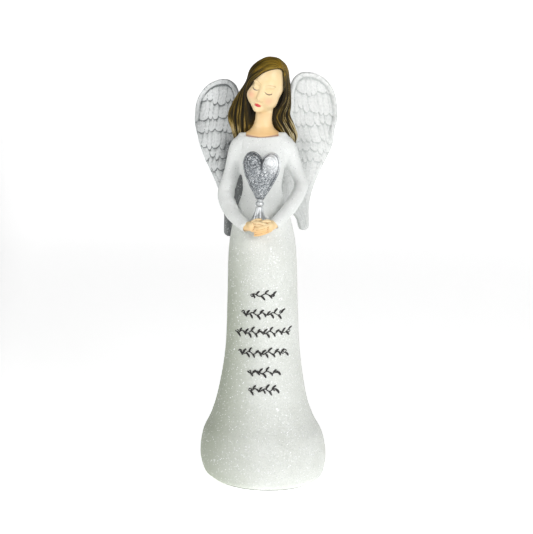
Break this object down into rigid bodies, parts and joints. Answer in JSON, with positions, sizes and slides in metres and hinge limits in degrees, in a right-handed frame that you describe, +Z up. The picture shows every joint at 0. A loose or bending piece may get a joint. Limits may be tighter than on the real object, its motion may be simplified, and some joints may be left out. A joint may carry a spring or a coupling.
{
  "type": "angel figurine",
  "caption": "Standing resin angel in a long flared glitter gown, head bowed, holding a silver heart on a stem, with two feathered wings.",
  "frame": {"origin": "centre of the flat felt underside, which the figurine stands on", "axes": "+Z up through the head; -Y the way the figure faces; +X towards the figure's own left hand"},
  "size_m": [0.088, 0.0665, 0.2501],
  "materials": {
    "glitter_white": "cast resin, white paint under fine clear glitter",
    "skin": "cast resin, satin peach paint with a thin brown wash",
    "hair": "cast resin, dark brown paint dry-brushed golden",
    "silver": "cast resin, silver glitter on the heart and silver paint on the stem",
    "wing_paint": "cast resin, pearl white paint with a grey wash in the grooves",
    "raw_resin": "unpainted cast resin",
    "felt": "pressed felt",
    "steel": "drawn wire"
  },
  "bodies": {
    "root": {"gown_shell": "glitter_white", "left_sleeve": "glitter_white", "right_sleeve": "glitter_white", "left_hand": "skin", "right_hand": "skin", "head_and_neck": "skin", "hair_crown": "hair", "hair_swept_lock": "hair", "hair_curled_lock": "hair", "hair_back_fall": "hair", "heart": "silver", "heart_collar": "silver", "heart_stem": "silver", "left_wing": "wing_paint", "right_wing": "wing_paint", "base_plug": "raw_resin", "felt_pad": "felt", "neck_pin": "steel", "heart_wire": "steel", "left_wing_pin_upper": "steel", "left_wing_pin_lower": "steel", "right_wing_pin_upper": "steel", "right_wing_pin_lower": "steel"}
  },
  "joints": []
}
